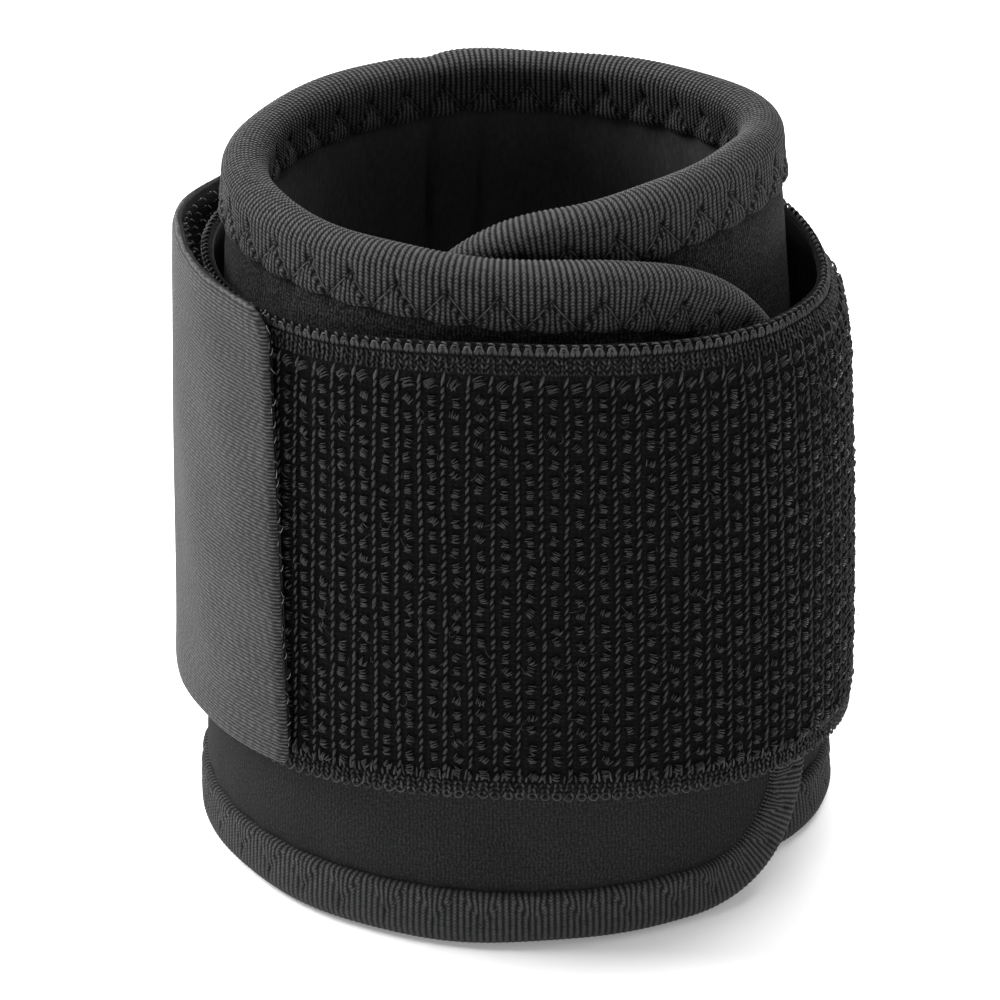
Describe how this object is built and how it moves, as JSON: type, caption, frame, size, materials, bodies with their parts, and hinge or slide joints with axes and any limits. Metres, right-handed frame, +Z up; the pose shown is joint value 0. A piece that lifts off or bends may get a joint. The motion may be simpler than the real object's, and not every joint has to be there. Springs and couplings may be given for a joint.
{
  "type": "wrist support brace",
  "caption": "Neoprene wrist band rolled into an overlapping ring, bound edges, wide loop-pile elastic strap wound round it and closed by a grey hook tab.",
  "frame": {"origin": "middle of the base, on the ground the lower bound edge stands on, under the centre of the bounding box", "axes": "+Z up through the wrist opening, -Y towards the overlap of the band at the front, +X to the right of the overlap"},
  "size_m": [0.0762, 0.0776, 0.0822],
  "materials": {
    "neoprene_foam": "matte closed-cell foam",
    "band_jersey": "matte fine-gauge jersey",
    "brushed_lining": "brushed, very matte",
    "binding_tape": "ribbed knit tape, matte",
    "elastic_webbing": "woven elastic, matte",
    "loop_pile": "knitted loop pile, slight yarn sheen",
    "hook_field": "moulded hooks, dull",
    "tab_knit": "fine ribbed knit, soft matte grey",
    "sewing_thread": "twisted polyester thread"
  },
  "bodies": {
    "band": {"band_foam": "neoprene_foam", "band_jersey": "band_jersey", "band_lining": "brushed_lining", "band_binding": "binding_tape", "strap_root_webbing": "elastic_webbing", "strap_root_pile": "loop_pile", "strap_anchor_stitching": "sewing_thread"},
    "flap_side": {"flap_side_foam": "neoprene_foam", "flap_side_jersey": "band_jersey", "flap_side_lining": "brushed_lining", "flap_side_binding_lower": "binding_tape", "flap_side_binding_upper": "binding_tape"},
    "flap_front": {"flap_front_foam": "neoprene_foam", "flap_front_jersey": "band_jersey", "flap_front_lining": "brushed_lining", "flap_front_binding": "binding_tape"},
    "strap_1": {"strap_1_webbing": "elastic_webbing", "strap_1_pile": "loop_pile"},
    "strap_2": {"strap_2_webbing": "elastic_webbing", "strap_2_pile": "loop_pile"},
    "strap_3": {"strap_3_webbing": "elastic_webbing", "strap_3_pile": "loop_pile"},
    "strap_4": {"strap_4_webbing": "elastic_webbing", "strap_4_pile": "loop_pile"},
    "strap_end": {"strap_end_webbing": "elastic_webbing", "strap_end_pile": "loop_pile", "tab_root_cover": "tab_knit", "tab_root_hook": "hook_field", "tab_seam_stitching": "sewing_thread"},
    "tab_base": {"tab_base_cover": "tab_knit", "tab_base_hook": "hook_field"},
    "tab_tip": {"tab_tip_cover": "tab_knit", "tab_tip_hook": "hook_field"}
  },
  "joints": [
    {"name": "strap_fold_1", "type": "hinge", "parent": "band", "child": "strap_1", "pos_m": [-0.02053, 0.02877, 0], "axis": [0, 0, -1], "range_deg": [0, 40]},
    {"name": "strap_fold_2", "type": "hinge", "parent": "strap_1", "child": "strap_2", "pos_m": [-0.0341, -0.01377, 0], "axis": [0, 0, -1], "range_deg": [0, 45]},
    {"name": "strap_unwind", "type": "hinge", "parent": "strap_2", "child": "strap_3", "pos_m": [0.00376, -0.03894, 0], "axis": [0, 0, -1], "range_deg": [0, 50]},
    {"name": "strap_fold_4", "type": "hinge", "parent": "strap_3", "child": "strap_4", "pos_m": [0.03821, -0.00785, 0], "axis": [0, 0, -1], "range_deg": [0, 57.5]},
    {"name": "strap_fold_5", "type": "hinge", "parent": "strap_4", "child": "strap_end", "pos_m": [0.01356, 0.0348, 0], "axis": [0, 0, -1], "range_deg": [0, 62.5]},
    {"name": "tab_fold", "type": "hinge", "parent": "strap_end", "child": "tab_base", "pos_m": [-0.03283, 0.01802, 0], "axis": [0, 0, -1], "range_deg": [0, 65]},
    {"name": "tab_peel", "type": "hinge", "parent": "tab_base", "child": "tab_tip", "pos_m": [-0.03747, -0.00788, 0], "axis": [0, 0, -1], "range_deg": [0, 85]},
    {"name": "flap_side_fold", "type": "hinge", "parent": "band", "child": "flap_side", "pos_m": [-0.029, 0.01942, 0], "axis": [0, 0, -1], "range_deg": [0, 20]},
    {"name": "flap_front_fold", "type": "hinge", "parent": "flap_side", "child": "flap_front", "pos_m": [-0.01772, -0.03268, 0], "axis": [0, 0, -1], "range_deg": [0, 30]}
  ],
  "couplings": [
    {"joint": "strap_fold_1", "follows": "strap_unwind", "ratio": 0.8},
    {"joint": "strap_fold_2", "follows": "strap_unwind", "ratio": 0.9},
    {"joint": "strap_fold_4", "follows": "strap_unwind", "ratio": 1.15},
    {"joint": "strap_fold_5", "follows": "strap_unwind", "ratio": 1.25},
    {"joint": "tab_fold", "follows": "strap_unwind", "ratio": 1.3},
    {"joint": "flap_side_fold", "follows": "strap_unwind", "ratio": 0.4},
    {"joint": "flap_front_fold", "follows": "strap_unwind", "ratio": 0.6}
  ]
}
